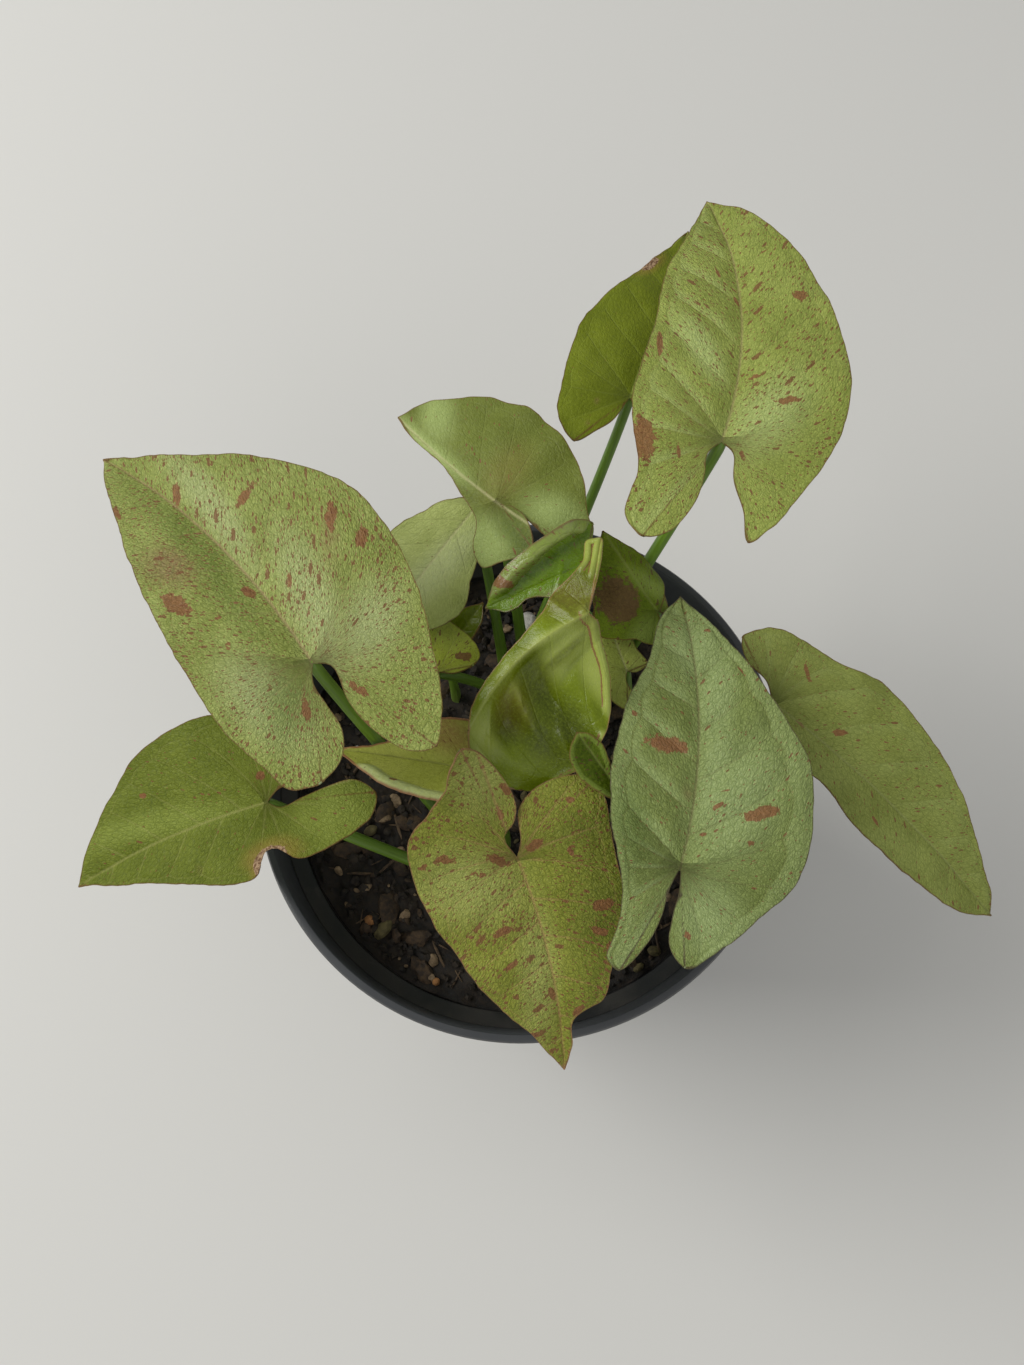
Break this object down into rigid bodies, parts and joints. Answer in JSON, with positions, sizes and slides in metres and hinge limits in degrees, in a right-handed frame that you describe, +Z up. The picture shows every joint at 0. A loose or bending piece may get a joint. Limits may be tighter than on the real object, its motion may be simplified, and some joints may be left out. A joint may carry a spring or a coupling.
{
  "type": "potted arrowhead plant",
  "caption": "Arrowhead plant with speckled arrow-shaped leaves on slender stalks, growing from potting mix in a round black nursery pot with a collar and a rolled lip.",
  "frame": {"origin": "centre of the pot's flat base, at the height of the surface it stands on", "axes": "+Z up; -Y is the side that the viewer stands on; +X is to the viewer's right"},
  "size_m": [0.2118, 0.2044, 0.1749],
  "materials": {
    "pot": "satin",
    "potting_mix": "matte",
    "crown": "satin",
    "leaf_pale": "satin",
    "leaf_sage": "satin",
    "leaf_olive": "satin",
    "leaf_fresh": "gloss",
    "leaf_grey": "satin"
  },
  "bodies": {
    "root": {"pot": "pot", "potting_mix": "potting_mix", "crown_front": "crown", "crown_back": "crown", "crown_right": "crown", "leaf_left_speckled": "leaf_pale", "leaf_lower_left": "leaf_olive", "leaf_front_speckled": "leaf_pale", "leaf_right_centre": "leaf_sage", "leaf_far_right": "leaf_olive", "leaf_tall_back": "leaf_pale", "leaf_behind": "leaf_olive", "leaf_back_folded": "leaf_sage", "leaf_back_pale": "leaf_grey", "leaf_low_left": "leaf_olive", "leaf_centre_crumpled": "leaf_fresh", "leaf_rolled": "leaf_fresh", "leaf_behind_centre": "leaf_olive", "leaf_left_folded": "leaf_olive", "leaf_small_front": "leaf_olive", "leaf_small_blotched": "leaf_sage", "leaf_small_low": "leaf_fresh"}
  },
  "joints": []
}
